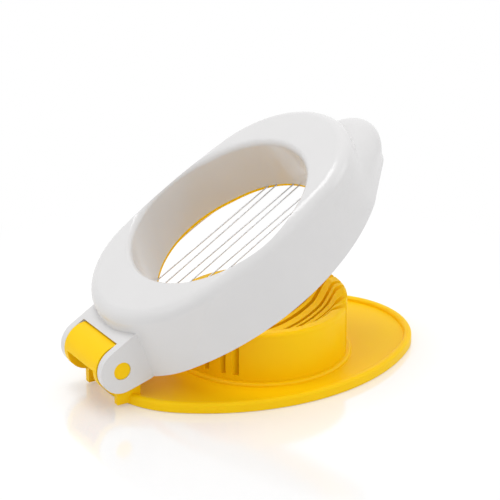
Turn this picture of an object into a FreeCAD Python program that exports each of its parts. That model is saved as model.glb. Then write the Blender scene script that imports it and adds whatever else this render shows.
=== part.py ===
"""Wire slicer: an oval tray with a slotted cup and a hinged lid that carries the cutting wires.

The part stands on z = 0 with the origin under its middle, +X runs from the hinge to the lid's nose
and +Y along the hinge axis. The tray and cup are modelled about the tray's centre. Everything on the
lid is modelled with the lid shut, about an origin on the hinge axis, and is turned open by lid_open.
"""
import FreeCAD
import Part
import Sketcher
import math
import os

DOC = FreeCAD.newDocument("wire_slicer")
SHEET = DOC.addObject("Spreadsheet::Sheet", "Sizes")

SIZES = (
    ("tray_half_length", 63.7, "tray, centre to end"),
    ("tray_half_width", 45.1, "tray, centre to side"),
    ("tray_end_radius", 35.0, "end arcs of the tray's oval"),
    ("rim_height", 3.8, "top of the tray's rim"),
    ("rim_width", 3.0, "width of the rim bead"),
    ("rim_round", 1.2, "rounding of the rim's edges"),
    ("floor_top", 2.4, "top of the tray's floor"),
    ("foot_recess", 0.8, "hollow under the floor"),
    ("foot_width", 3.4, "width of the ring that the tray stands on"),
    ("cup_x", 1.4, "centre of the cup"),
    ("cup_radius", 32.7, "outside of the cup"),
    ("cup_top", 22.4, "top of the cup's lip"),
    ("cup_round", 1.6, "rounding of the lip"),
    ("dish_radius", 28.4, "edge of the dish at the lip"),
    ("dish_bottom", 10.3, "lowest point of the dish"),
    ("seat_radius", 34.6, "raised round seat under the cup"),
    ("seat_rise", 1.2, "seat above the floor"),
    ("seat_round", 1.0, "rounding of the seat's shoulder"),
    ("spigot_radius", 25.8, "spigot under the cup"),
    ("spigot_gap", 0.1, "spigot to its hole, on the radius"),
    ("spigot_depth", 2.4, "spigot below the seat"),
    ("slot_width", 2.0, "slot for one wire"),
    ("slot_floor", 5.7, "bottom of the slots"),
    ("core_radius", 23.0, "hollow under the cup"),
    ("core_top", 4.2, "top of the hollow under the cup"),
    ("hinge_reach", 2.1, "hinge axis beyond the tray's end"),
    ("hinge_z", 15.45, "hinge axis above the table"),
    ("barrel_radius", 8.9, "cheeks and hood of the bracket"),
    ("hood_wall", 1.8, "thickness of the hood"),
    ("hood_start", 38.0, "angle where the hood ends under the lid's shelf"),
    ("cheek_outer", 12.3, "outer face of a cheek from the middle"),
    ("cheek_wall", 2.4, "thickness of a cheek"),
    ("leg_back", 0.5, "leg's outer edge beyond the axis"),
    ("leg_front", 8.9, "leg's inner edge from the axis"),
    ("leg_foot", 0.6, "underside of the legs"),
    ("pin_radius", 3.3, "pins on the cheeks"),
    ("pin_end", 15.4, "end of a pin from the middle"),
    ("pin_gap", 0.07, "pin to its hole, on the radius"),
    ("ear_outer", 15.7, "outer face of an ear from the middle"),
    ("ear_wall", 2.9, "thickness of an ear"),
    ("ear_radius", 8.6, "round end of an ear"),
    ("ear_foot", 7.2, "foot of an ear from the axis"),
    ("lid_open", 30.5, "angle that the lid stands open"),
    ("lid_start", 4.3, "lid's hinge end from the axis"),
    ("lid_inset", 4.5, "lid's half length short of the tray's"),
    ("lid_side", 6.7, "lid's side beyond the opening"),
    ("lid_end_radius", 32.8, "end arcs of the lid's oval at its lower edge"),
    ("lid_drop", 10.75, "lid's lower edge below the axis"),
    ("lid_height", 26.6, "lower edge to crest"),
    ("crest_back", 5.0, "lean of the wall at the hinge end, lower edge to crest"),
    ("crest_end", 0.6, "lean of the wall at the nose end, lower edge to crest"),
    ("crest_side", 5.1, "lean of the side walls, lower edge to crest"),
    ("crest_square", 1.1, "crest's end arcs short of its half width"),
    ("lid_round", 4.5, "rounding of the crest"),
    ("lid_wall", 2.2, "wall of the lid"),
    ("crest_wall", 3.2, "thickness of the lid under its crest"),
    ("open_back", 1.6, "centre of the opening, back from the cup's"),
    ("open_radius", 34.4, "round of the opening at the hinge end"),
    ("open_stretch", 1.6, "half the distance that the opening is longer than round"),
    ("open_taper", 2.4, "round of the opening at the nose end, smaller by"),
    ("open_wall", 2.0, "wall round the opening"),
    ("open_edge", 6.15, "lower edge of that wall below the axis"),
    ("open_round", 2.6, "rounding of the opening's upper edge"),
    ("shelf_edge", 4.6, "free edge of the shelf from the axis"),
    ("shelf_wall", 2.4, "thickness of the shelf"),
    ("notch_gap", 0.4, "bracket to the lid"),
    ("notch_front", 9.5, "notch in the lid's end wall from the axis"),
    ("nose_foot_reach", 8.8, "nose beyond the oval, at the lower edge"),
    ("nose_lip_rise", 3.5, "second outline of the nose above the lower edge"),
    ("nose_lip_reach", 9.9, "nose beyond the oval there"),
    ("nose_belly_rise", 8.0, "third outline of the nose"),
    ("nose_belly_reach", 11.4, "nose beyond the oval there"),
    ("nose_radius", 13.8, "round of the tip, up to there"),
    ("nose_brow_rise", 13.0, "fourth outline of the nose"),
    ("nose_brow_reach", 10.4, "nose beyond the oval there"),
    ("nose_brow_radius", 11.0, "round of the tip there"),
    ("nose_ramp_rise", 17.5, "fifth outline of the nose"),
    ("nose_ramp_reach", 4.2, "nose beyond the oval there"),
    ("nose_ramp_radius", 6.0, "round of the tip there"),
    ("nose_top_rise", 21.5, "last outline of the nose, just under the crest's rounding"),
    ("nose_top_reach", -0.5, "nose beyond the oval there"),
    ("nose_top_radius", 5.0, "round of the tip there"),
    ("nose_bury", 0.1, "back of the nose inside the lid's wall"),
    ("nose_wall", 2.0, "wall of the nose"),
    ("nose_hollow", 7.5, "height of the hollow in the nose"),
    ("frame_gap", 0.7, "wire frame to the lid's wall"),
    ("frame_rise", 2.2, "underside of the wire frame above the lid's edge"),
    ("frame_wall", 1.1, "thickness of the wire frame"),
    ("frame_lip", 0.3, "lip beyond the wall round the opening"),
    ("frame_edge", 0.35, "edge left on the lip under the wires"),
    ("frame_flare", 2.3, "how far the lip is cut back underneath"),
    ("wire_radius", 0.25, "cutting wire"),
    ("wire_drop", 6.5, "wires below the axis"),
    ("wire_pitch", 5.0, "wires at the hinge end"),
    ("comb_in", 3.0, "where that pitch is measured, in from the opening's round"),
    ("notch_width", 0.9, "comb notch for one wire"),
    ("peg_back", 4.2, "pegs beyond the opening's end"),
    ("peg_radius", 1.1, "peg that a wire turns round"),
    ("peg_height", 2.2, "peg above the frame"),
    ("peg_gap", 0.02, "wire to peg"),
    ("crimp_radius", 0.75, "crimp on a wire end"),
    ("crimp_length", 3.0, "crimp on a wire end"),
    ("crimp_gap", 0.06, "wire in its crimp, on the radius"),
    ("crimp_seat", 0.05, "crimp to the lip"),
)

for row, (alias, value, note) in enumerate(SIZES, 1):
    SHEET.set("A%d" % row, note)
    SHEET.set("B%d" % row, "%s" % value)
    SHEET.setAlias("B%d" % row, alias)
DOC.recompute()

PAIRS = (-2, -1, 0, 1, 2)
VALUE = {alias: float(SHEET.get(alias)) for alias, unused_value, unused_note in SIZES}

LINKS = (
    ("hinge_x", "-(tray_half_length + hinge_reach)", "hinge axis from the tray's centre"),
    ("lid_half_length", "tray_half_length - lid_inset", "lid, centre to end"),
    ("lid_half_width", "open_radius + lid_side", "lid, centre to side"),
    ("lid_x", "lid_half_length + lid_start", "centre of the lid's oval from the axis"),
    ("open_x", "cup_x - hinge_x - open_back", "centre of the opening from the axis"),
    ("crest_radius", "lid_half_width - crest_side - crest_square", "end arcs of the crest's oval"),
    ("peg_x", "open_x + open_stretch + open_radius + peg_back", "pegs from the axis"),
    ("wire_comb_x", "open_x - open_radius + comb_in", "where the wires' pitch is measured"),
)
LINKED = DOC.addObject("Spreadsheet::Sheet", "Links")
WORK = DOC.addObject("Spreadsheet::Sheet", "Work")


def number(text):
    """Work out a formula in the sheet's names, on a sheet that nothing else depends on."""
    WORK.set("A1", "=" + bound(text))
    WORK.recompute()
    found = WORK.get("A1")
    return float(getattr(found, "Value", found))


def bound(text):
    """Write the same formula the way an expression outside the sheet has to name it."""
    words = []
    word = ""
    for letter in text + " ":
        if letter.isalnum() or letter == "_":
            word += letter
            continue
        words.append(HOME[word] + "." + word if word in HOME else word)
        words.append(letter)
        word = ""
    return "".join(words).strip()


HOME = {alias: "Sizes" for alias in VALUE}
for row, (alias, formula, note) in enumerate(LINKS, 1):
    LINKED.set("A%d" % row, note)
    LINKED.set("B%d" % row, "=" + bound(formula).replace("Links.", ""))
    LINKED.setAlias("B%d" % row, alias)
    HOME[alias] = "Links"
    DOC.recompute()
    VALUE[alias] = number(alias)


def new_body(label):
    body = DOC.addObject("PartDesign::Body", label)
    body.Label = label
    return body


def sketch(body, role, lift=None, shift=None):
    """A sketch on one of the body's own planes, raised along the plane's normal by a formula."""
    plane = [item for item in body.Origin.OriginFeatures if item.Role == role][0]
    made = body.newObject("Sketcher::SketchObject", "sketch")
    made.AttachmentSupport = [(plane, "")]
    made.MapMode = "FlatFace"
    if lift:
        made.setExpression("AttachmentOffset.Base.z", bound(lift))
    if shift:
        made.setExpression("AttachmentOffset.Base.x", bound(shift))
    return made


def held(made, kind, *items):
    """Add a constraint whose last item is a formula, and bind it."""
    index = made.addConstraint(Sketcher.Constraint(kind, *items[:-1], number(items[-1])))
    name = "size%d" % index
    made.renameConstraint(index, name)
    made.setExpression("Constraints." + name, bound(items[-1]))


def joined(made, first, first_end, second, second_end):
    made.addConstraint(Sketcher.Constraint("Tangent", first, first_end, second, second_end))


def circle(made, x, y, radius):
    centre = FreeCAD.Vector(number(x), number(y), 0)
    item = made.addGeometry(Part.Circle(centre, FreeCAD.Vector(0, 0, 1), number(radius)), False)
    place(made, item, 3, x, y)
    held(made, "Radius", item, radius)
    return item


def place(made, item, end, x, y):
    """Hold one point of a sketch at two formulas; "0" puts it on an axis."""
    if x == "0":
        made.addConstraint(Sketcher.Constraint("PointOnObject", item, end, -2))
    else:
        held(made, "DistanceX", -1, 1, item, end, x)
    if y == "0":
        made.addConstraint(Sketcher.Constraint("PointOnObject", item, end, -1))
    else:
        held(made, "DistanceY", -1, 1, item, end, y)


def arc(made, x, y, radius, start, end):
    full = Part.Circle(FreeCAD.Vector(x, y, 0), FreeCAD.Vector(0, 0, 1), radius)
    return made.addGeometry(Part.ArcOfCircle(full, start, end), False)


def oval(made, x, length, width, end_radius):
    """Four tangent arcs: half length, half width and the radius of the two end arcs."""
    side = "((({0}) - ({2}))^2 + ({1})^2 - ({2})^2) / (2 * (({1}) - ({2})))".format(
        length, width, end_radius)
    centre = number(x)
    reach = number(length) - number(end_radius)
    small = number(end_radius)
    large = number(side)
    depth = large - number(width)
    lean = math.atan2(depth, reach)
    right = arc(made, centre + reach, 0, small, -lean, lean)
    top = arc(made, centre, -depth, large, lean, math.pi - lean)
    left = arc(made, centre - reach, 0, small, math.pi - lean, math.pi + lean)
    bottom = arc(made, centre, depth, large, math.pi + lean, 2 * math.pi - lean)
    joined(made, right, 2, top, 1)
    joined(made, top, 2, left, 1)
    joined(made, left, 2, bottom, 1)
    joined(made, bottom, 2, right, 1)
    place(made, right, 3, "%s + (%s) - (%s)" % (x, length, end_radius), "0")
    place(made, left, 3, "%s - (%s) + (%s)" % (x, length, end_radius), "0")
    held(made, "Radius", right, end_radius)
    held(made, "Radius", left, end_radius)
    held(made, "Radius", top, side)
    held(made, "Radius", bottom, side)


def teardrop(made, x, radius, tip_x, tip_radius):
    """Two rounds on the X axis and the straights that touch both."""
    size = number(radius)
    small = number(tip_radius)
    centre = FreeCAD.Vector(number(x), 0, 0)
    far = FreeCAD.Vector(number(tip_x), 0, 0)
    turn = math.acos((size - small) / (far.x - centre.x))
    toward = FreeCAD.Vector(math.cos(turn), math.sin(turn), 0)
    below = FreeCAD.Vector(math.cos(turn), -math.sin(turn), 0)
    right = arc(made, far.x, 0, small, -turn, turn)
    top = made.addGeometry(Part.LineSegment(far + toward * small, centre + toward * size), False)
    left = arc(made, centre.x, 0, size, turn, 2 * math.pi - turn)
    bottom = made.addGeometry(Part.LineSegment(centre + below * size, far + below * small), False)
    joined(made, right, 2, top, 1)
    joined(made, top, 2, left, 1)
    joined(made, left, 2, bottom, 1)
    joined(made, bottom, 2, right, 1)
    place(made, right, 3, tip_x, "0")
    place(made, left, 3, x, "0")
    held(made, "Radius", right, tip_radius)
    held(made, "Radius", left, radius)


def opening(made, wall):
    """The lid's opening, grown by a wall: rounder and wider at the hinge end."""
    teardrop(made, "open_x - open_stretch", "open_radius + %s" % wall,
             "open_x + open_stretch + open_taper", "open_radius - open_taper + %s" % wall)


def lid_oval(made, rise, inset):
    """The lid's oval at a height above its lower edge, set in from the outer wall."""
    share = "(%s) / lid_height" % rise
    oval(made, "lid_x + (crest_back - crest_end) / 2 * %s" % share,
         "lid_half_length - (crest_back + crest_end) / 2 * %s - (%s)" % (share, inset),
         "lid_half_width - crest_side * %s - (%s)" % (share, inset),
         "lid_end_radius + (crest_radius - lid_end_radius) * %s - (%s)" % (share, inset))


def polygon(made, *corners):
    """Straight lines through corners that are each held at two formulas."""
    points = [FreeCAD.Vector(number(x), number(y), 0) for x, y in corners]
    first = None
    for index, point in enumerate(points):
        following = points[(index + 1) % len(points)]
        item = made.addGeometry(Part.LineSegment(point, following), False)
        first = item if first is None else first
        place(made, item, 1, *corners[index])
        if index:
            made.addConstraint(Sketcher.Constraint("Coincident", item - 1, 2, item, 1))
    made.addConstraint(Sketcher.Constraint("Coincident", item, 2, first, 1))


def grown(body, kind, profile, length=None, both=False, back=False, lean=None):
    """Pad or pocket a sketch by a formula."""
    made = body.newObject("PartDesign::" + kind, kind.lower())
    made.Profile = profile
    if length is None:
        made.Type = "ThroughAll"
    else:
        made.setExpression("Length", bound(length))
    made.Midplane = both
    made.Reversed = back
    if lean:
        made.setExpression("TaperAngle", bound(lean))
    body.Tip = made
    DOC.recompute()
    return made


def repeated(body, original):
    """Repeat a feature for each pair of wires, from the first pair's place across the part."""
    made = body.newObject("PartDesign::LinearPattern", "pattern")
    made.Originals = [original]
    made.Direction = (original.Profile[0], ["V_Axis"])
    made.setExpression("Length", bound("4 * wire_pitch * 2"))
    made.Occurrences = len(PAIRS)
    body.Tip = made
    DOC.recompute()
    return made


def rounded(body, edges, radius):
    """Fillet the tip's edges that pass a test."""
    base = body.Tip
    names = []
    for index, edge in enumerate(base.Shape.Edges, 1):
        if edges(edge.BoundBox, edge):
            names.append("Edge%d" % index)
    made = body.newObject("PartDesign::Fillet", "fillet")
    made.Base = (base, names)
    made.setExpression("Radius", bound(radius))
    body.Tip = made
    DOC.recompute()
    return made


def flat_at(level, test=None):
    """An edge test: the edge lies at one height, and passes a further test."""
    height = number(level)

    def passes(box, edge):
        if max(abs(box.ZMin - height), abs(box.ZMax - height)) > 1e-4:
            return False
        return test is None or test(edge)
    return passes


def beyond(x, radius):
    """A further test: the edge's middle is further from a point on the X axis than a radius."""
    centre = FreeCAD.Vector(number(x), 0, 0)
    size = number(radius)

    def passes(edge):
        middle = edge.valueAt((edge.FirstParameter + edge.LastParameter) / 2)
        return math.hypot(middle.x - centre.x, middle.y) > size
    return passes


MIDDLE = "-(hinge_x - barrel_radius + tray_half_length) / 2"


def on_tray(body):
    """Move a body modelled about the tray's centre, so that the origin is under the whole part."""
    body.setExpression("Placement.Base.x", bound(MIDDLE))


def on_lid(body):
    """Put a body modelled about the hinge axis in its place, turned open with the lid."""
    body.setExpression("Placement.Base.x", bound("hinge_x + " + MIDDLE))
    body.setExpression("Placement.Base.z", bound("hinge_z"))
    body.Placement.Rotation = FreeCAD.Rotation(FreeCAD.Vector(0, -1, 0), VALUE["lid_open"])
    body.setExpression("Placement.Rotation.Angle", bound("lid_open"))


def make_base_tray():
    body = new_body("base_tray")
    profile = sketch(body, "XY_Plane")
    oval(profile, "0 * tray_half_length", "tray_half_length", "tray_half_width", "tray_end_radius")
    grown(body, "Pad", profile, "rim_height")
    profile = sketch(body, "XY_Plane", "rim_height")
    oval(profile, "0 * rim_width", "tray_half_length - rim_width", "tray_half_width - rim_width",
         "tray_end_radius - rim_width")
    grown(body, "Pocket", profile, "rim_height - floor_top")
    rounded(body, flat_at("rim_height"), "rim_round")
    profile = sketch(body, "XY_Plane")
    oval(profile, "0 * foot_width", "tray_half_length - foot_width", "tray_half_width - foot_width",
         "tray_end_radius - foot_width")
    grown(body, "Pocket", profile, "foot_recess", back=True)
    profile = sketch(body, "XY_Plane", "foot_recess")
    circle(profile, "cup_x", "0", "seat_radius")
    grown(body, "Pad", profile, "floor_top - foot_recess + seat_rise")
    rounded(body, flat_at("floor_top + seat_rise"), "seat_round")
    profile = sketch(body, "XY_Plane", "floor_top + seat_rise")
    circle(profile, "cup_x", "0", "spigot_radius + spigot_gap")
    grown(body, "Pocket", profile)
    for face in ("-cheek_outer", "cheek_outer - cheek_wall"):
        profile = sketch(body, "XZ_Plane", face)
        circle(profile, "hinge_x", "hinge_z", "barrel_radius")
        grown(body, "Pad", profile, "cheek_wall")
        profile = sketch(body, "XZ_Plane", face)
        polygon(profile, ("hinge_x - leg_back", "leg_foot"), ("hinge_x + leg_front", "leg_foot"),
                ("hinge_x + leg_front", "hinge_z"), ("hinge_x - leg_back", "hinge_z"))
        grown(body, "Pad", profile, "cheek_wall")
    make_hood(body)
    for face in ("-pin_end", "cheek_outer - cheek_wall / 2"):
        profile = sketch(body, "XZ_Plane", face)
        circle(profile, "hinge_x", "hinge_z", "pin_radius")
        grown(body, "Pad", profile, "pin_end - cheek_outer + cheek_wall / 2")
    on_tray(body)
    return body


def make_hood(body):
    """The arch over the barrel, from the outer side to a line under the lid's shelf."""
    profile = sketch(body, "XZ_Plane")
    x = VALUE["hinge_x"]
    z = VALUE["hinge_z"]
    outer = VALUE["barrel_radius"]
    inner = number("barrel_radius - hood_wall")
    start = math.radians(VALUE["hood_start"])
    over = arc(profile, x, z, outer, start, math.pi)
    under = arc(profile, x, z, inner, start, math.pi)
    toward = FreeCAD.Vector(math.cos(start), math.sin(start), 0)
    middle = FreeCAD.Vector(x, z, 0)
    front = profile.addGeometry(Part.LineSegment(middle + toward * inner, middle + toward * outer), False)
    side = FreeCAD.Vector(-1, 0, 0)
    back = profile.addGeometry(Part.LineSegment(middle + side * outer, middle + side * inner), False)
    for first, first_end, second, second_end in (
            (front, 2, over, 1), (over, 2, back, 1), (back, 2, under, 2), (under, 1, front, 1)):
        profile.addConstraint(Sketcher.Constraint("Coincident", first, first_end, second, second_end))
    place(profile, over, 3, "hinge_x", "hinge_z")
    profile.addConstraint(Sketcher.Constraint("Coincident", over, 3, under, 3))
    held(profile, "Radius", over, "barrel_radius")
    held(profile, "Radius", under, "barrel_radius - hood_wall")
    profile.addConstraint(Sketcher.Constraint("Horizontal", back))
    held(profile, "DistanceY", over, 3, front, 2, "barrel_radius * sin(hood_start * 1deg)")
    held(profile, "DistanceY", over, 3, front, 1, "(barrel_radius - hood_wall) * sin(hood_start * 1deg)")
    grown(body, "Pad", profile, "2 * cheek_outer", both=True)


def make_slotted_cup():
    body = new_body("slotted_cup")
    profile = sketch(body, "XY_Plane", "floor_top + seat_rise")
    circle(profile, "cup_x", "0", "cup_radius")
    grown(body, "Pad", profile, "cup_top - floor_top - seat_rise")
    make_dish(body)
    rounded(body, flat_at("cup_top"), "cup_round")
    profile = sketch(body, "XY_Plane", "floor_top + seat_rise")
    circle(profile, "cup_x", "0", "spigot_radius")
    grown(body, "Pad", profile, "spigot_depth", back=True)
    profile = sketch(body, "XY_Plane", "floor_top + seat_rise - spigot_depth")
    circle(profile, "cup_x", "0", "core_radius")
    grown(body, "Pocket", profile, "core_top - floor_top - seat_rise + spigot_depth", back=True)
    profile = sketch(body, "XY_Plane", "cup_top")
    for pair in PAIRS:
        for side in (-1, 1):
            middle = "%d * wire_pitch * 2 + %d * %s" % (pair, side, WIRE_MIDDLE)
            low = "%s - slot_width / 2" % middle
            high = "%s + slot_width / 2" % middle
            polygon(profile, ("cup_x - cup_radius - 1", low), ("cup_x + cup_radius + 1", low),
                    ("cup_x + cup_radius + 1", high), ("cup_x - cup_radius - 1", high))
    grown(body, "Pocket", profile, "cup_top - slot_floor")
    on_tray(body)
    return body


def make_dish(body):
    """A round dish turned out of the cup."""
    depth = "(cup_top - dish_bottom)"
    ball = "((dish_radius^2 + %s^2) / (2 * %s))" % (depth, depth)
    profile = sketch(body, "XZ_Plane", shift="cup_x")
    edge = FreeCAD.Vector(VALUE["dish_radius"], VALUE["cup_top"], 0)
    low = FreeCAD.Vector(0, VALUE["dish_bottom"], 0)
    high = FreeCAD.Vector(0, VALUE["cup_top"], 0)
    centre = VALUE["dish_bottom"] + number(ball)
    angle = math.atan2(edge.y - centre, edge.x)
    bowl = arc(profile, 0, centre, number(ball), -math.pi / 2, angle)
    lid = profile.addGeometry(Part.LineSegment(edge, high), False)
    axis = profile.addGeometry(Part.LineSegment(high, low), False)
    for first, first_end, second, second_end in ((bowl, 2, lid, 1), (lid, 2, axis, 1), (axis, 2, bowl, 1)):
        profile.addConstraint(Sketcher.Constraint("Coincident", first, first_end, second, second_end))
    profile.addConstraint(Sketcher.Constraint("PointOnObject", bowl, 3, -2))
    place(profile, axis, 1, "0", "cup_top")
    place(profile, axis, 2, "0", "dish_bottom")
    place(profile, lid, 1, "dish_radius", "cup_top")
    made = body.newObject("PartDesign::Groove", "groove")
    made.Profile = profile
    made.ReferenceAxis = (profile, ["V_Axis"])
    made.Angle = 360
    body.Tip = made
    DOC.recompute()


def lofted(body, kind, sections):
    """A loft through sketches on parallel planes."""
    made = body.newObject("PartDesign::" + kind, kind.lower())
    made.Profile = sections[0]
    made.Sections = sections[1:]
    body.Tip = made
    DOC.recompute()
    return made


def lid_loft(body, kind, steps):
    """Part of the lid's outside or hollow: a loft through its oval at heights, each with an inset."""
    sections = []
    for rise, inset in steps:
        profile = sketch(body, "XY_Plane", "%s - lid_drop" % rise)
        lid_oval(profile, rise, inset)
        sections.append(profile)
    lofted(body, kind, sections)


def crest_step(turn):
    """One outline of the crest's rounding, at an angle up from the wall."""
    return ("(lid_height - lid_round + lid_round * sin(%d * 1deg))" % turn,
            "lid_round * (1 - cos(%d * 1deg))" % turn)


def make_lid_shell():
    body = new_body("lid_shell")
    lid_loft(body, "AdditiveLoft", (("0", "0"), ("(lid_height - lid_round)", "0")))
    lid_loft(body, "AdditiveLoft", [crest_step(turn) for turn in (0, 25, 50, 72, 90)])
    make_nose(body)
    make_ears(body)
    profile = sketch(body, "XZ_Plane")
    polygon(profile, ("shelf_edge", "ear_radius - shelf_wall"), ("lid_x / 4", "ear_radius - shelf_wall"),
            ("lid_x / 4", "ear_radius"), ("shelf_edge", "ear_radius"))
    grown(body, "Pad", profile, "2 * ear_outer - ear_wall", both=True)
    lid_loft(body, "SubtractiveLoft", (("0", "lid_wall"), ("(lid_height - crest_wall)", "lid_wall")))
    profile = sketch(body, "XY_Plane", "-lid_drop")
    teardrop(profile, "lid_x + lid_half_length - lid_end_radius", "lid_end_radius - lid_wall",
             "lid_x + lid_half_length + nose_foot_reach - nose_radius", "nose_radius - nose_wall")
    grown(body, "Pocket", profile, "nose_hollow", back=True)
    profile = sketch(body, "XY_Plane", "-open_edge")
    opening(profile, "open_wall")
    grown(body, "Pad", profile, "lid_height - lid_drop - crest_wall + open_edge")
    profile = sketch(body, "XY_Plane", "lid_height - lid_drop + 1")
    opening(profile, "0")
    grown(body, "Pocket", profile)
    sections = []
    for below, outward in (("1.0", "0"), ("0.43", "0.18"), ("0.13", "0.5"), ("-0.25", "1.6")):
        profile = sketch(body, "XY_Plane", "lid_height - lid_drop - open_round * %s" % below)
        opening(profile, "open_round * %s" % outward)
        sections.append(profile)
    lofted(body, "SubtractiveLoft", sections)
    profile = sketch(body, "XZ_Plane")
    polygon(profile, ("-2 * ear_radius", "-2 * lid_drop"), ("notch_front", "-2 * lid_drop"),
            ("notch_front", "0"), ("-2 * ear_radius", "0"))
    grown(body, "Pocket", profile, "2 * (cheek_outer + notch_gap)", both=True)
    profile = sketch(body, "XZ_Plane")
    circle(profile, "0", "0", "barrel_radius + notch_gap")
    grown(body, "Pocket", profile, "2 * (cheek_outer + notch_gap)", both=True)
    profile = sketch(body, "XZ_Plane")
    circle(profile, "0", "0", "pin_radius + pin_gap")
    grown(body, "Pocket", profile, "2 * ear_outer + 2", both=True)
    on_lid(body)
    return body


def make_nose(body):
    """The nose: it leans out from the lower edge, rounds over and runs up into the crest."""
    sections = []
    for rise, reach, radius in (
            ("0", "nose_foot_reach", "nose_radius"), ("nose_lip_rise", "nose_lip_reach", "nose_radius"),
            ("nose_belly_rise", "nose_belly_reach", "nose_radius"),
            ("nose_brow_rise", "nose_brow_reach", "nose_brow_radius"),
            ("nose_ramp_rise", "nose_ramp_reach", "nose_ramp_radius"),
            ("nose_top_rise", "nose_top_reach", "nose_top_radius")):
        share = "(%s) / lid_height" % rise
        wall = "(lid_end_radius + (crest_radius - lid_end_radius) * %s)" % share
        end = "lid_x + lid_half_length - crest_end * %s" % share
        profile = sketch(body, "XY_Plane", "%s - lid_drop" % rise)
        teardrop(profile, "%s - %s" % (end, wall), "%s - nose_bury" % wall,
                 "lid_x + lid_half_length + %s - %s" % (reach, radius), radius)
        sections.append(profile)
    lofted(body, "AdditiveLoft", sections)


def make_ears(body):
    for face in ("-ear_outer", "ear_outer - ear_wall"):
        profile = sketch(body, "XZ_Plane", face)
        size = VALUE["ear_radius"]
        foot = FreeCAD.Vector(VALUE["ear_foot"], -VALUE["lid_drop"], 0)
        turn = math.atan2(foot.y, foot.x) - math.acos(size / math.hypot(foot.x, foot.y))
        touch = FreeCAD.Vector(size * math.cos(turn), size * math.sin(turn), 0)
        inside = number("lid_x / 4")
        end = arc(profile, 0, 0, size, math.pi / 2, turn + 2 * math.pi)
        lower = profile.addGeometry(Part.LineSegment(touch, foot), False)
        corner = FreeCAD.Vector(inside, foot.y, 0)
        upper = FreeCAD.Vector(inside, size, 0)
        low = profile.addGeometry(Part.LineSegment(foot, corner), False)
        rise = profile.addGeometry(Part.LineSegment(corner, upper), False)
        top = profile.addGeometry(Part.LineSegment(upper, FreeCAD.Vector(0, size, 0)), False)
        joined(profile, end, 2, lower, 1)
        joined(profile, top, 2, end, 1)
        for first, second in ((lower, low), (low, rise), (rise, top)):
            profile.addConstraint(Sketcher.Constraint("Coincident", first, 2, second, 1))
        place(profile, end, 3, "0", "0")
        held(profile, "Radius", end, "ear_radius")
        place(profile, lower, 2, "ear_foot", "-lid_drop")
        place(profile, low, 2, "lid_x / 4", "-lid_drop")
        profile.addConstraint(Sketcher.Constraint("Vertical", rise))
        profile.addConstraint(Sketcher.Constraint("Horizontal", top))
        grown(body, "Pad", profile, "ear_wall")


def make_wire_frame():
    body = new_body("wire_frame")
    profile = sketch(body, "XY_Plane", "frame_rise - lid_drop")
    lid_oval(profile, "frame_rise + frame_wall", "lid_wall + frame_gap")
    grown(body, "Pad", profile, "frame_wall")
    profile = sketch(body, "XY_Plane", "frame_rise - lid_drop")
    opening(profile, "open_wall + frame_lip")
    grown(body, "Pad", profile, "lid_drop - frame_rise - open_edge")
    profile = sketch(body, "XY_Plane", "-open_edge")
    for side in (-1, 1):
        hinge = "-4 * wire_pitch + %d * %s" % (side, wire_y("open_x - open_radius"))
        nose = "-4 * wire_pitch + %d * %s" % (side, wire_y("open_x + open_radius"))
        comb(profile, hinge, "open_x - open_radius - open_stretch - open_wall - frame_lip - 1", "open_x - 1")
        comb(profile, nose, "open_x + 1", "open_x + open_radius + open_stretch + open_wall + frame_lip + 1")
    repeated(body, grown(body, "Pocket", profile, "wire_drop + wire_radius + peg_gap - open_edge"))
    profile = sketch(body, "XY_Plane", "-open_edge + 1")
    opening(profile, "0")
    grown(body, "Pocket", profile)
    sections = []
    for height, outward in (("frame_rise - lid_drop - frame_edge", "frame_flare"),
                            ("-wire_drop - wire_radius - peg_gap", "(-0.18 * frame_flare)")):
        profile = sketch(body, "XY_Plane", height)
        opening(profile, outward)
        sections.append(profile)
    lofted(body, "SubtractiveLoft", sections)
    profile = sketch(body, "XY_Plane", "-open_edge + 1")
    wide = "cheek_outer + notch_gap"
    polygon(profile, ("0", "-(%s)" % wide), ("notch_front + frame_gap", "-(%s)" % wide),
            ("notch_front + frame_gap", wide), ("0", wide))
    grown(body, "Pocket", profile)
    profile = sketch(body, "XY_Plane", "frame_rise + frame_wall / 2 - lid_drop")
    circle(profile, "peg_x", "-4 * wire_pitch", "peg_radius")
    repeated(body, grown(body, "Pad", profile, "peg_height + frame_wall / 2"))
    on_lid(body)
    return body


def comb(profile, middle, start, end):
    low = "%s - notch_width / 2" % middle
    high = "%s + notch_width / 2" % middle
    polygon(profile, (start, low), (end, low), (end, high), (start, high))


def wire_y(x):
    """Half the gap between a pair's wires at a distance from the axis."""
    turn = "(peg_radius + wire_radius + peg_gap)"
    return "({0} + (wire_pitch / 2 - {0}) * (peg_x - ({1})) / (peg_x - wire_comb_x))".format(turn, x)


WIRE_MIDDLE = wire_y("cup_x - hinge_x")


def crimp_end(pair, side):
    """Where a crimp meets the lip on the hinge side, from the axis."""
    across = "(%d * wire_pitch * 2 + %d * wire_pitch / 2)" % (pair, side)
    round_lip = "sqrt((open_radius + open_wall + frame_lip)^2 - (abs(%s) - crimp_radius)^2)" % across
    return "open_x - open_stretch - %s - crimp_seat" % round_lip


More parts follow.
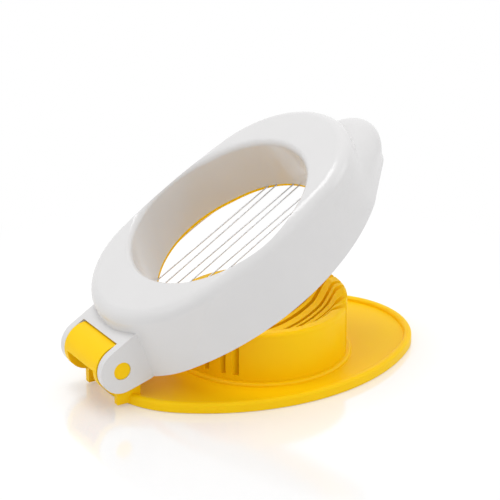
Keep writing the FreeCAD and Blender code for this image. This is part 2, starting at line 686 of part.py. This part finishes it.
def make_wire_loop(index, pair):
    """A hairpin of wire: both ends at the hinge, one turn round a peg."""
    body = new_body("wire_loop_%d" % index)
    middle = number("%d * wire_pitch * 2" % pair)
    turn = number("peg_radius + wire_radius + peg_gap")
    peg = VALUE["peg_x"]
    starts = [number("%s - crimp_length" % crimp_end(pair, side)) for side in (-1, 1)]
    path = sketch(body, "XY_Plane", "-wire_drop")
    ends = []
    for side, start in zip((-1, 1), starts):
        half = number(wire_y("%s - crimp_length" % crimp_end(pair, side)))
        ends.append(FreeCAD.Vector(start, middle + side * half, 0))
    slope = math.atan2(number("wire_pitch / 2") - turn, number("peg_x - wire_comb_x"))
    low = FreeCAD.Vector(peg + turn * math.sin(slope), middle - turn * math.cos(slope), 0)
    high = FreeCAD.Vector(peg + turn * math.sin(slope), middle + turn * math.cos(slope), 0)
    out = path.addGeometry(Part.LineSegment(ends[0], low), False)
    bend = arc(path, peg, middle, turn, slope - math.pi / 2, math.pi / 2 - slope)
    back = path.addGeometry(Part.LineSegment(high, ends[1]), False)
    joined(path, out, 2, bend, 1)
    joined(path, bend, 2, back, 1)
    place(path, bend, 3, "peg_x", "%d * wire_pitch * 2" % pair if pair else "0")
    held(path, "Radius", bend, "peg_radius + wire_radius + peg_gap")
    for item, end, side in ((out, 1, -1), (back, 2, 1)):
        x = "%s - crimp_length" % crimp_end(pair, side)
        place(path, item, end, x, "%d * wire_pitch * 2 + %d * %s" % (pair, side, wire_y(x)))
    section = sketch(body, "YZ_Plane", "%s - crimp_length" % crimp_end(pair, -1))
    x = "%s - crimp_length" % crimp_end(pair, -1)
    circle(section, "%d * wire_pitch * 2 - %s" % (pair, wire_y(x)), "-wire_drop", "wire_radius")
    made = body.newObject("PartDesign::AdditivePipe", "pipe")
    made.Profile = section
    made.Spine = path
    made.Transition = "Transformed"
    body.Tip = made
    DOC.recompute()
    on_lid(body)
    return body


def make_wire_crimps(index, pair):
    """The two crimps that hold a hairpin's ends behind the lip."""
    parts = []
    for side in (-1, 1):
        x = "%s - crimp_length" % crimp_end(pair, side)
        middle = "%d * wire_pitch * 2 + %d * %s" % (pair, side, wire_y(x + " + crimp_length / 2"))
        outer = DOC.addObject("Part::Cylinder", "sleeve")
        inner = DOC.addObject("Part::Cylinder", "bore")
        for item, radius in ((outer, "crimp_radius"), (inner, "wire_radius + crimp_gap")):
            item.setExpression("Radius", bound(radius))
            item.setExpression("Height", bound("crimp_length"))
            item.Placement.Rotation = FreeCAD.Rotation(FreeCAD.Vector(0, 1, 0), 90)
            item.setExpression("Placement.Base.x", bound(x))
            item.setExpression("Placement.Base.y", bound(middle))
            item.setExpression("Placement.Base.z", bound("-wire_drop"))
        ring = DOC.addObject("Part::Cut", "ring")
        ring.Base = outer
        ring.Tool = inner
        parts.append(ring)
    group = DOC.addObject("Part::Compound", "wire_crimps_%d" % index)
    group.Label = "wire_crimps_%d" % index
    group.Links = parts
    DOC.recompute()
    on_lid(group)
    return group


def main():
    made = [make_base_tray(), make_slotted_cup(), make_lid_shell(), make_wire_frame()]
    for index, pair in enumerate(PAIRS, 1):
        made.append(make_wire_loop(index, pair))
        made.append(make_wire_crimps(index, pair))
    DOC.recompute()
    for item in DOC.Objects:
        if "Invalid" in item.State or "Error" in item.State:
            raise RuntimeError("%s did not build" % item.Label)
    os.makedirs("parts", exist_ok=True)
    for item in made:
        if item.Shape.isNull() or not item.Shape.isValid():
            raise RuntimeError("%s has no valid shape" % item.Label)
        item.Shape.exportStep("parts/%s.step" % item.Label)


main()
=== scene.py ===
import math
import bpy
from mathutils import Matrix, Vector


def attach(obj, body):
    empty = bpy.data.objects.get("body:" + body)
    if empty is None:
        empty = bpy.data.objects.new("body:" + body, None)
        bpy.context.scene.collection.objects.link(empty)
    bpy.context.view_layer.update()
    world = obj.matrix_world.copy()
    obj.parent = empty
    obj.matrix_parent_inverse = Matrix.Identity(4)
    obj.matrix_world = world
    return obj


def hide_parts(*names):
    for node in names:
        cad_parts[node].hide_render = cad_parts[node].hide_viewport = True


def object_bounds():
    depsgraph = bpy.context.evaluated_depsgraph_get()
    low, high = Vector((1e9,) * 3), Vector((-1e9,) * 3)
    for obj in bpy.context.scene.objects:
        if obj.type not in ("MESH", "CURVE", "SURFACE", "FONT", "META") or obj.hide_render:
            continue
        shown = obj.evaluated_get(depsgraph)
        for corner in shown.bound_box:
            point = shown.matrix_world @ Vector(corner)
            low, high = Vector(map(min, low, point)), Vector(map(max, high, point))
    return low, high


bl_info = {
    "name": "Wire slicer",
    "version": (1, 0, 0),
    "blender": (4, 5, 0),
    "location": "View3D > Sidebar > Slicer",
    "description": "Dresses the packed wire slicer: its plastics, its wires and the stage it stands on",
    "category": "Object",
}

import bpy
from mathutils import Vector

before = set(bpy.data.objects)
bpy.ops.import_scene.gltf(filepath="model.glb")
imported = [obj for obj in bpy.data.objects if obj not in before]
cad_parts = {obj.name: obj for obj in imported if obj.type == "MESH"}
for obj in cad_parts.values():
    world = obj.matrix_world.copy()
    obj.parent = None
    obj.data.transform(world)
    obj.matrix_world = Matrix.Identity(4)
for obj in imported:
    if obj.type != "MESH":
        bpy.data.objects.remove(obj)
CAD_BOX = [list(corner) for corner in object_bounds()]

HAIRPINS = sum(name.startswith("wire_loop_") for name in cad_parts)
MM_PER_METRE = 1000

# How a copied node is cleaned: points closer than this, in metres, merge, and triangles this flat join.
MERGE_GAP = 0.000005
FLAT_TURN = math.radians(1.5)
# The largest turn between two faces that is still shaded as smooth.
PLASTIC_TURN = math.radians(32)
WIRE_TURN = math.radians(60)
CRIMP_TURN = math.radians(40)

# The floor in metres: its width, how far it lies under the tray, and where it fades to plain white.
FLOOR_WIDTH = 6.0
FLOOR_DROP = 0.0002
FADE_START = 0.08
FADE_END = 0.17
# Share of plain white under the slicer, where the floor keeps its shadow.
FADE_LEAST = 0.25

# Each square lamp's name, place, aim, width in metres and watts.
LAMPS = (
    ("top", (-0.12, 0.22, 1.30), (0, 0, 0.03), 0.6, 5.0),
    ("right", (1.00, -0.55, 0.55), (0, 0, 0.04), 0.7, 1.7),
    ("left", (-0.95, -0.15, 0.70), (0, 0, 0.06), 0.5, 0.5),
)
# Strength of the world's light on the slicer, and of the white that the world and the floor are seen as.
WORLD_LIGHT = 0.82
SEEN_WHITE = 1.0
# Millimetres for the sensor, metres for the nearest thing the camera sees.
SENSOR_WIDTH = 36.0
CLIP_START = 0.01


def linear(code):
    """An sRGB hex colour as the linear RGBA that a socket takes."""
    parts = [int(code[place:place + 2], 16) / 255 for place in (1, 3, 5)]
    return [part / 12.92 if part <= 0.04045 else ((part + 0.055) / 1.055) ** 2.4 for part in parts] + [1.0]


def node(tree, kind, settings=(), links=()):
    """Add a shader node, set its values and feed its inputs, by number where two of them share a name."""
    made = tree.nodes.new(kind)
    for name, value in settings:
        if name in made.inputs:
            made.inputs[name].default_value = value
        else:
            setattr(made, name, value)
    for name, source in links:
        tree.links.new(source, made.inputs[name])
    return made


def new_material(name):
    """An empty material with one shader, and the output that it feeds."""
    made = bpy.data.materials.new(name)
    made.use_nodes = True
    tree = made.node_tree
    tree.nodes.clear()
    shader = node(tree, "ShaderNodeBsdfPrincipled")
    output = node(tree, "ShaderNodeOutputMaterial", (), (("Surface", shader.outputs["BSDF"]),))
    return made, tree, shader, output


def mottle(tree, shader, size, detail, deep, pale, smooth, rough):
    """Run the colour and the roughness between two values each, in patches of a size in millimetres."""
    place = node(tree, "ShaderNodeTexCoord")
    patches = node(tree, "ShaderNodeTexNoise", (("Scale", MM_PER_METRE / size), ("Detail", detail)),
                   (("Vector", place.outputs["Object"]),))
    shade = node(tree, "ShaderNodeMix", (("data_type", "RGBA"), ("A", linear(deep)), ("B", linear(pale))),
                 (("Factor", patches.outputs["Fac"]),))
    tree.links.new(shade.outputs["Result"], shader.inputs["Base Color"])
    worn = node(tree, "ShaderNodeMapRange", (("To Min", smooth), ("To Max", rough)),
                (("Value", patches.outputs["Fac"]),))
    tree.links.new(worn.outputs["Result"], shader.inputs["Roughness"])


def relief(tree, shader, size, detail, strength, depth):
    """Raise a faint relief on the surface, of a size in millimetres and a depth in metres."""
    place = node(tree, "ShaderNodeTexCoord")
    swell = node(tree, "ShaderNodeTexNoise", (("Scale", MM_PER_METRE / size), ("Detail", detail)),
                 (("Vector", place.outputs["Object"]),))
    bump = node(tree, "ShaderNodeBump", (("Strength", strength), ("Distance", depth)),
                (("Height", swell.outputs["Fac"]),))
    tree.links.new(bump.outputs["Normal"], shader.inputs["Normal"])


def yellow_plastic(finish):
    """Moulded polypropylene: a dense warm yellow, satin from a blasted tool, aglow at thin edges."""
    made, tree, shader, _ = new_material("moulded_polypropylene_yellow")
    mottle(tree, shader, size=11.0, detail=3.0, deep=finish.yellow_deep, pale=finish.yellow,
           smooth=0.38, rough=0.48)
    # The blasted skin's grain is about 0.1 mm across, drawn at 0.5 mm so that it shows.
    relief(tree, shader, size=0.5, detail=2.0, strength=0.08, depth=0.00005)
    shader.inputs["IOR"].default_value = 1.49
    shader.inputs["Specular IOR Level"].default_value = 0.16
    shader.inputs["Subsurface Weight"].default_value = 0.15
    shader.inputs["Subsurface Radius"].default_value = (1.0, 0.6, 0.05)
    shader.inputs["Subsurface Scale"].default_value = 0.002
    return made


def white_plastic(finish):
    """Moulded ABS: a cool white from a polished tool, semi-gloss, with a moulded skin's faint waviness."""
    made, tree, shader, _ = new_material("moulded_abs_white")
    mottle(tree, shader, size=16.0, detail=2.0, deep=finish.white_deep, pale=finish.white,
           smooth=0.16, rough=0.22)
    relief(tree, shader, size=4.0, detail=1.0, strength=0.03, depth=0.0002)
    shader.inputs["IOR"].default_value = 1.53
    return made


def wire_steel(finish):
    """Drawn stainless wire: bright and thin, broken up by fine draw marks."""
    made, tree, shader, _ = new_material("drawn_stainless_wire")
    # Draw marks are a few hundredths of a millimetre wide, drawn at 0.6 mm so that they show.
    mottle(tree, shader, size=0.6, detail=2.0, deep=finish.wire_deep, pale=finish.wire,
           smooth=0.25, rough=0.4)
    shader.inputs["Metallic"].default_value = 1.0
    return made


def crimp_steel(finish):
    """Pressed stainless sleeve: greyer than the wire, with the soft bloom that the press leaves."""
    made, tree, shader, _ = new_material("pressed_stainless_crimp")
    mottle(tree, shader, size=1.2, detail=2.0, deep=finish.crimp_deep, pale=finish.crimp,
           smooth=0.36, rough=0.5)
    shader.inputs["Metallic"].default_value = 1.0
    return made


def seen_directly(tree):
    """One for a ray from the camera, or one that comes by a mirror or through glass."""
    path = node(tree, "ShaderNodeLightPath")
    total = path.outputs["Is Camera Ray"]
    for name in ("Is Glossy Ray", "Is Transmission Ray"):
        more = node(tree, "ShaderNodeMath", (("operation", "MAXIMUM"),),
                    ((0, total), (1, path.outputs[name])))
        total = more.outputs["Value"]
    return total


def white_acrylic(finish):
    """White acrylic sheet: pale, with a faint mirror of what stands on it, plain white further out."""
    made, tree, shader, output = new_material("white_acrylic_floor")
    shader.inputs["Base Color"].default_value = linear(finish.floor)
    shader.inputs["Roughness"].default_value = 0.12
    shader.inputs["Metallic"].default_value = 0.22
    place = node(tree, "ShaderNodeTexCoord")
    reach = node(tree, "ShaderNodeVectorMath", (("operation", "LENGTH"),),
                 (("Vector", place.outputs["Object"]),))
    away = node(tree, "ShaderNodeMapRange",
                (("interpolation_type", "SMOOTHSTEP"), ("From Min", FADE_START), ("From Max", FADE_END),
                 ("To Min", FADE_LEAST)),
                (("Value", reach.outputs["Value"]),))
    share = node(tree, "ShaderNodeMath", (("operation", "MULTIPLY"),),
                 ((0, away.outputs["Result"]), (1, seen_directly(tree))))
    plain = node(tree, "ShaderNodeEmission", (("Color", linear(finish.floor)), ("Strength", SEEN_WHITE)))
    blend = node(tree, "ShaderNodeMixShader", (),
                 (("Fac", share.outputs["Value"]), (1, shader.outputs["BSDF"]),
                  (2, plain.outputs["Emission"])))
    tree.links.new(blend.outputs["Shader"], output.inputs["Surface"])
    return made


FINISHES = {
    "yellow_plastic": yellow_plastic,
    "white_plastic": white_plastic,
    "wire_steel": wire_steel,
    "crimp_steel": crimp_steel,
}
# The finishes made so far, by slot.
MATERIALS = {}


def finish_of(slot):
    """The finish of a slot, made when it is first asked for."""
    if slot not in MATERIALS:
        MATERIALS[slot] = FINISHES[slot](bpy.context.scene.slicer_finish)
    return MATERIALS[slot]


def ease(value, low, high):
    """Nought below the low mark and one above the high mark, with a smooth step between."""
    share = min(max((value - low) / (high - low), 0.0), 1.0)
    return share * share * (3 - 2 * share)


def raise_lip(mesh, shape):
    """Raise the end of the cup's lip under the nose, so that the teeth between its slots stand up there."""
    for vertex in mesh.vertices:
        share = ease(vertex.co.x, shape.rise_start, shape.rise_end)
        share *= ease(vertex.co.z, shape.rise_foot, shape.rise_full)
        vertex.co.z += shape.lip_rise * share


def clad(name, source, body, slot, turn, lip=None):
    """A merged and smoothed copy of a CAD node, standing for it."""
    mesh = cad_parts[source].data.copy()
    mesh.name = name
    made = bpy.data.objects.new(name, mesh)
    bpy.context.scene.collection.objects.link(made)
    bpy.ops.object.select_all(action="DESELECT")
    made.select_set(True)
    bpy.context.view_layer.objects.active = made
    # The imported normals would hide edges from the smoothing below.
    bpy.ops.mesh.customdata_custom_splitnormals_clear()
    bpy.ops.object.mode_set(mode="EDIT")
    bpy.ops.mesh.select_all(action="SELECT")
    bpy.ops.mesh.remove_doubles(threshold=MERGE_GAP)
    bpy.ops.mesh.tris_convert_to_quads(face_threshold=FLAT_TURN, shape_threshold=math.pi)
    bpy.ops.object.mode_set(mode="OBJECT")
    if lip is not None:
        raise_lip(mesh, lip)
    bpy.ops.object.shade_smooth_by_angle(angle=turn)
    even = made.modifiers.new("even", "WEIGHTED_NORMAL")
    even.mode = "FACE_AREA"
    even.keep_sharp = True
    bpy.ops.object.modifier_apply(modifier=even.name)
    mesh.materials.clear()
    mesh.materials.append(finish_of(slot))
    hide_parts(source)
    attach(made, body)


def facing(place, aim):
    """The turn of a lamp or a camera that stands at one place and points at another."""
    return (Vector(aim) - Vector(place)).to_track_quat("-Z", "Y").to_euler()


def lay_floor(scene):
    """The sheet that the slicer stands on."""
    bpy.ops.object.select_all(action="DESELECT")
    bpy.ops.mesh.primitive_plane_add(size=FLOOR_WIDTH, location=(0, 0, CAD_BOX[0][2] - FLOOR_DROP))
    floor = bpy.context.object
    floor.name = "floor"
    floor.data.materials.append(white_acrylic(scene.slicer_finish))


def hang_lamps(scene):
    """Soft square lamps above and to both sides."""
    for name, place, aim, width, watts in LAMPS:
        lamp = bpy.data.lights.new(name, "AREA")
        lamp.shape = "SQUARE"
        lamp.size = width
        lamp.energy = watts
        holder = bpy.data.objects.new(name, lamp)
        scene.collection.objects.link(holder)
        holder.location = place
        holder.rotation_euler = facing(place, aim)


def light_world(scene):
    """An even white room: a little under white as light, and white where it is seen."""
    world = bpy.data.worlds.new("studio")
    world.use_nodes = True
    tree = world.node_tree
    tree.nodes.clear()
    white = linear(scene.slicer_finish.floor)
    light = node(tree, "ShaderNodeBackground", (("Color", white), ("Strength", WORLD_LIGHT)))
    seen = node(tree, "ShaderNodeBackground", (("Color", white), ("Strength", SEEN_WHITE)))
    blend = node(tree, "ShaderNodeMixShader", (),
                 (("Fac", seen_directly(tree)), (1, light.outputs["Background"]),
                  (2, seen.outputs["Background"])))
    node(tree, "ShaderNodeOutputWorld", (), (("Surface", blend.outputs["Shader"]),))
    scene.world = world


def place_camera(scene):
    """The camera at the photograph's viewing angle."""
    stage = scene.slicer_stage
    lens = bpy.data.cameras.new("camera")
    lens.lens = stage.lens
    lens.sensor_width = SENSOR_WIDTH
    lens.clip_start = CLIP_START
    camera = bpy.data.objects.new("camera", lens)
    scene.collection.objects.link(camera)
    camera.location = stage.camera_place
    camera.rotation_euler = facing(stage.camera_place, stage.camera_aim)
    scene.camera = camera


class SlicerFinish(bpy.types.PropertyGroup):
    """Colours of the slicer."""

    yellow: bpy.props.StringProperty(
        name="Yellow", description="Yellow plastic, sRGB hex", default="#FFD100")
    yellow_deep: bpy.props.StringProperty(
        name="Yellow, deep", description="Denser patches of the yellow, sRGB hex", default="#FFCB00")
    white: bpy.props.StringProperty(
        name="White", description="White plastic, sRGB hex", default="#DCDBDB")
    white_deep: bpy.props.StringProperty(
        name="White, deep", description="Duller patches of the white, sRGB hex", default="#D8D7D7")
    wire: bpy.props.StringProperty(
        name="Wire", description="Bright wire, sRGB hex", default="#D2D2D4")
    wire_deep: bpy.props.StringProperty(
        name="Wire, deep", description="Draw marks on the wire, sRGB hex", default="#B4B4B8")
    crimp: bpy.props.StringProperty(
        name="Crimp", description="Pressed sleeve, sRGB hex", default="#BCBCC0")
    crimp_deep: bpy.props.StringProperty(
        name="Crimp, deep", description="Bloom on the pressed sleeve, sRGB hex", default="#9C9CA1")
    floor: bpy.props.StringProperty(
        name="Floor", description="Floor and backdrop, sRGB hex", default="#FFFFFF")


class SlicerShape(bpy.types.PropertyGroup):
    """How the end of the cup's lip rises."""

    lip_rise: bpy.props.FloatProperty(
        name="Lip rise", description="Height of the lip's raised end above the rest",
        unit="LENGTH", default=0.0033)
    rise_start: bpy.props.FloatProperty(
        name="Rise starts", description="Along the tray, where the lip starts to rise",
        unit="LENGTH", default=0.028)
    rise_end: bpy.props.FloatProperty(
        name="Rise ends", description="Along the tray, where the lip is at its full height",
        unit="LENGTH", default=0.0355)
    rise_foot: bpy.props.FloatProperty(
        name="Rise foot", description="Height below which the cup stays as it is",
        unit="LENGTH", default=0.013)
    rise_full: bpy.props.FloatProperty(
        name="Rise full", description="Height above which all of the cup's end rises",
        unit="LENGTH", default=0.020)


class SlicerStage(bpy.types.PropertyGroup):
    """Where the camera stands and what it sees."""

    camera_place: bpy.props.FloatVectorProperty(
        name="Camera", description="Where the camera stands", subtype="TRANSLATION", unit="LENGTH",
        default=(-0.37565, -0.61749, 0.33911))
    camera_aim: bpy.props.FloatVectorProperty(
        name="Aim", description="What the camera looks at", subtype="TRANSLATION", unit="LENGTH",
        default=(0.01106, 0.01406, 0.03645))
    lens: bpy.props.FloatProperty(
        name="Lens", description="Focal length on a 36 mm sensor, in millimetres",
        unit="CAMERA", default=151.9)


class SLICER_OT_tray(bpy.types.Operator):
    """Dress the tray and its hinge bracket"""

    bl_idname = "slicer.tray"
    bl_label = "Tray"

    def execute(self, context):
        clad("tray", "base_tray", "base", "yellow_plastic", PLASTIC_TURN)
        return {"FINISHED"}


class SLICER_OT_cup(bpy.types.Operator):
    """Dress the slotted cup and raise the end of its lip"""

    bl_idname = "slicer.cup"
    bl_label = "Cup"

    def execute(self, context):
        clad("cup", "slotted_cup", "base", "yellow_plastic", PLASTIC_TURN, context.scene.slicer_shape)
        return {"FINISHED"}


class SLICER_OT_lid(bpy.types.Operator):
    """Dress the lid"""

    bl_idname = "slicer.lid"
    bl_label = "Lid"

    def execute(self, context):
        clad("lid", "lid_shell", "lid", "white_plastic", PLASTIC_TURN)
        return {"FINISHED"}


class SLICER_OT_wires(bpy.types.Operator):
    """Dress the wire frame, the wires and their crimps"""

    bl_idname = "slicer.wires"
    bl_label = "Wires"

    def execute(self, context):
        clad("wire_ring", "wire_frame", "lid", "yellow_plastic", PLASTIC_TURN)
        for index in range(1, HAIRPINS + 1):
            clad("wire_%d" % index, "wire_loop_%d" % index, "lid", "wire_steel", WIRE_TURN)
            clad("crimps_%d" % index, "wire_crimps_%d" % index, "lid", "crimp_steel", CRIMP_TURN)
        return {"FINISHED"}


class SLICER_OT_stage(bpy.types.Operator):
    """Set the floor, the lamps, the world and the camera"""

    bl_idname = "slicer.stage"
    bl_label = "Stage"

    def execute(self, context):
        scene = context.scene
        scene.view_settings.view_transform = "Standard"
        lay_floor(scene)
        hang_lamps(scene)
        light_world(scene)
        place_camera(scene)
        return {"FINISHED"}


class SLICER_PT_panel(bpy.types.Panel):
    """The slicer's steps, colours and sizes"""

    bl_idname = "SLICER_PT_panel"
    bl_label = "Wire slicer"
    bl_space_type = "VIEW_3D"
    bl_region_type = "UI"
    bl_category = "Slicer"

    def draw(self, context):
        scene = context.scene
        for kind in STEPS:
            self.layout.operator(kind.bl_idname)
        for group in (scene.slicer_finish, scene.slicer_shape, scene.slicer_stage):
            for name in type(group).__annotations__:
                self.layout.prop(group, name)


STEPS = (SLICER_OT_tray, SLICER_OT_cup, SLICER_OT_lid, SLICER_OT_wires, SLICER_OT_stage)
CLASSES = (SlicerFinish, SlicerShape, SlicerStage) + STEPS + (SLICER_PT_panel,)


def register():
    for kind in CLASSES:
        bpy.utils.register_class(kind)
    bpy.types.Scene.slicer_finish = bpy.props.PointerProperty(type=SlicerFinish)
    bpy.types.Scene.slicer_shape = bpy.props.PointerProperty(type=SlicerShape)
    bpy.types.Scene.slicer_stage = bpy.props.PointerProperty(type=SlicerStage)


def unregister():
    del bpy.types.Scene.slicer_stage
    del bpy.types.Scene.slicer_shape
    del bpy.types.Scene.slicer_finish
    for kind in reversed(CLASSES):
        bpy.utils.unregister_class(kind)


def main():
    register()
    bpy.ops.slicer.tray()
    bpy.ops.slicer.cup()
    bpy.ops.slicer.lid()
    bpy.ops.slicer.wires()
    bpy.ops.slicer.stage()


if __name__ == "__main__":
    main()
